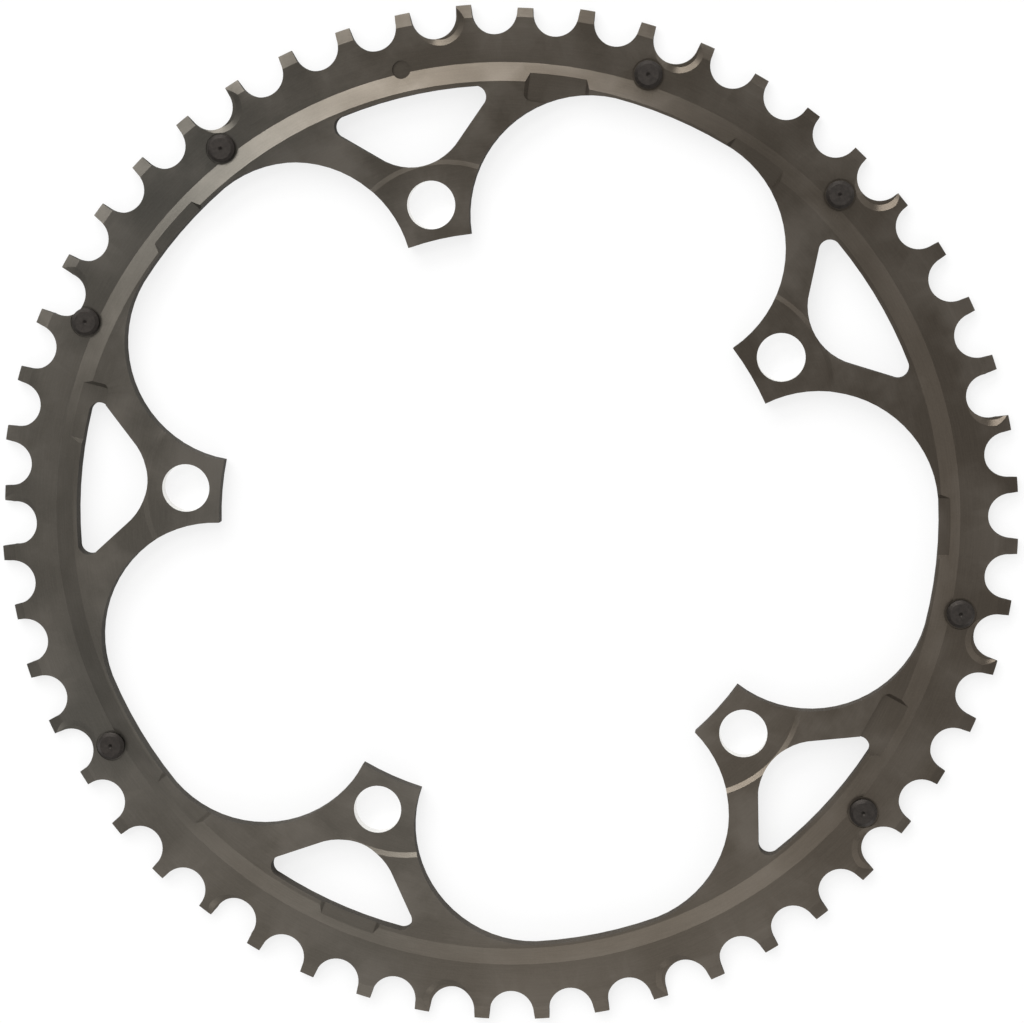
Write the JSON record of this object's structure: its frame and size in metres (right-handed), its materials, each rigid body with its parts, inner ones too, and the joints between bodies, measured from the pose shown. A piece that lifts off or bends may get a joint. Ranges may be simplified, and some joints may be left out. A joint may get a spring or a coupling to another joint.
{
  "type": "bicycle chainring",
  "caption": "Flat toothed outer chainring with inward bolt tabs, rounded scallops, triangular windows, a sloping band, shift gates, ramp pockets and riveted steel pins.",
  "frame": {"origin": "on the ring's axis, in the plane of the flat back face that it lies on", "axes": "+Z along the ring's axis, out of the inner face with the spider seats, ramps and pins; -Y through the bolt tab that is centred on a tooth; +X to the right of it"},
  "size_m": [0.2148, 0.2148, 0.004],
  "materials": {
    "ring_alloy": "dark grey-brown anodised, satin",
    "pin_steel": "darkened steel, satin"
  },
  "bodies": {
    "root": {"ring": "ring_alloy", "shift_pin_1": "pin_steel", "shift_pin_2": "pin_steel", "shift_pin_3": "pin_steel", "shift_pin_4": "pin_steel", "shift_pin_5": "pin_steel", "shift_pin_6": "pin_steel", "shift_pin_7": "pin_steel"}
  },
  "joints": []
}
